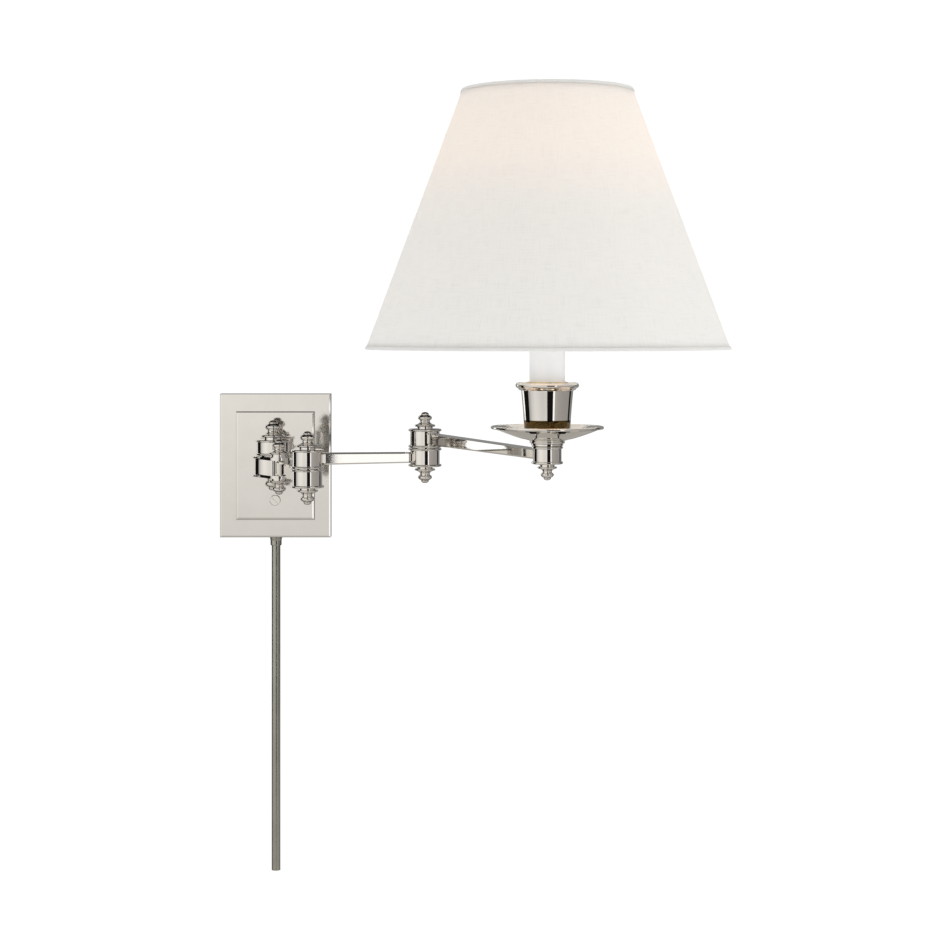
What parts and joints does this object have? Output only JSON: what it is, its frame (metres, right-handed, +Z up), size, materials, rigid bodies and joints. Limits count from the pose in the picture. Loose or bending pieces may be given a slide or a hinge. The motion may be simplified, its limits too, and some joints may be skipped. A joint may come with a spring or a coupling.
{
  "type": "swing arm wall sconce",
  "caption": "Wall lamp with a rectangular plate, a cord-cover tube, jointed swing arms with turned knuckles, a candle cup with drip pan, and a tapered linen shade.",
  "frame": {"origin": "middle of the wall plate's back face, on the wall", "axes": "+Z up, +Y into the wall, -Y out into the room, +X to the right of someone facing the wall"},
  "size_m": [0.4869, 0.6356, 0.7993],
  "materials": {
    "polished_nickel": "polished nickel, mirror-like and slightly warm",
    "zinc_steel": "zinc-plated steel",
    "brass": "satin brass",
    "lead_insulation": "soft insulation",
    "candle_white": "smooth white sleeve, slight sheen",
    "phenolic": "dark moulded phenolic",
    "porcelain": "unglazed porcelain",
    "bulb_metal": "rolled screw cap",
    "bulb_glass": "frosted white glass, lit",
    "shade_linen": "fine natural-white linen on a stiff lining"
  },
  "bodies": {
    "wall_mount": {"mounting_strap": "zinc_steel", "back_plate": "polished_nickel", "raised_panel": "polished_nickel", "plate_screw": "polished_nickel", "wall_stub": "polished_nickel", "stub_nut": "brass", "wall_barrel": "polished_nickel", "wall_pin": "zinc_steel", "wall_finial_top": "polished_nickel", "wall_finial_bottom": "polished_nickel", "tube_collar": "polished_nickel", "cord_tube": "polished_nickel"},
    "forked_link": {"wall_link": "polished_nickel", "wall_washer": "polished_nickel", "link_pin": "zinc_steel", "link_washer": "polished_nickel", "link_finial_top": "polished_nickel", "link_finial_bottom": "polished_nickel"},
    "rear_arm": {"rear_arm": "polished_nickel", "rear_bush": "brass", "rear_barrel": "polished_nickel", "rear_leads": "lead_insulation", "elbow_1_pin": "zinc_steel", "elbow_1_washer": "polished_nickel", "elbow_1_finial_top": "polished_nickel", "elbow_1_finial_bottom": "polished_nickel"},
    "middle_arm": {"middle_arm": "polished_nickel", "middle_barrel_inner": "polished_nickel", "middle_barrel_outer": "polished_nickel", "middle_leads": "lead_insulation", "elbow_2_pin": "zinc_steel", "elbow_2_washer": "polished_nickel", "elbow_2_finial_top": "polished_nickel", "elbow_2_finial_bottom": "polished_nickel"},
    "front_arm": {"front_arm": "polished_nickel", "front_barrel": "polished_nickel", "lamp_barrel": "polished_nickel", "front_leads": "lead_insulation", "swivel_washer": "polished_nickel"},
    "lamp_head": {"lamp_pipe": "brass", "lamp_finial": "polished_nickel", "coupler": "polished_nickel", "drip_pan": "polished_nickel", "candle_cup": "polished_nickel", "cup_ring": "brass", "pipe_nut": "brass", "candle_sleeve": "candle_white", "socket_cap": "phenolic", "socket_insulator": "porcelain", "socket_shell": "brass", "bulb_cap": "bulb_metal", "bulb_glass": "bulb_glass", "shade": "shade_linen", "shade_frame": "zinc_steel", "shade_top_wire": "zinc_steel", "shade_bottom_wire": "zinc_steel"},
    "turn_knob": {"turn_knob": "phenolic"}
  },
  "joints": [
    {"name": "wall_pivot", "type": "hinge", "parent": "wall_mount", "child": "forked_link", "pos_m": [0, -0.055, 0.0021], "axis": [0, 0, 1], "range_deg": [-90, 42]},
    {"name": "link_pivot", "type": "hinge", "parent": "forked_link", "child": "rear_arm", "pos_m": [0.00839, -0.08588, 0.0021], "axis": [0, 0, -1], "range_deg": [-45, 110]},
    {"name": "elbow_1", "type": "hinge", "parent": "rear_arm", "child": "middle_arm", "pos_m": [0.04557, -0.22085, 0.0198], "axis": [0, 0, 1], "range_deg": [-135, 55]},
    {"name": "elbow_2", "type": "hinge", "parent": "middle_arm", "child": "front_arm", "pos_m": [0.16225, -0.19284, 0.039], "axis": [0, 0, -1], "range_deg": [-70, 84]},
    {"name": "lamp_swivel", "type": "hinge", "parent": "front_arm", "child": "lamp_head", "pos_m": [0.26787, -0.47684, 0.039], "axis": [0, 0, 1], "range_deg": [-150, 150]},
    {"name": "knob_turn", "type": "hinge", "parent": "lamp_head", "child": "turn_knob", "pos_m": [0.26787, -0.47684, 0.1968], "axis": [0.9397, 0.342, 0], "continuous": true}
  ]
}
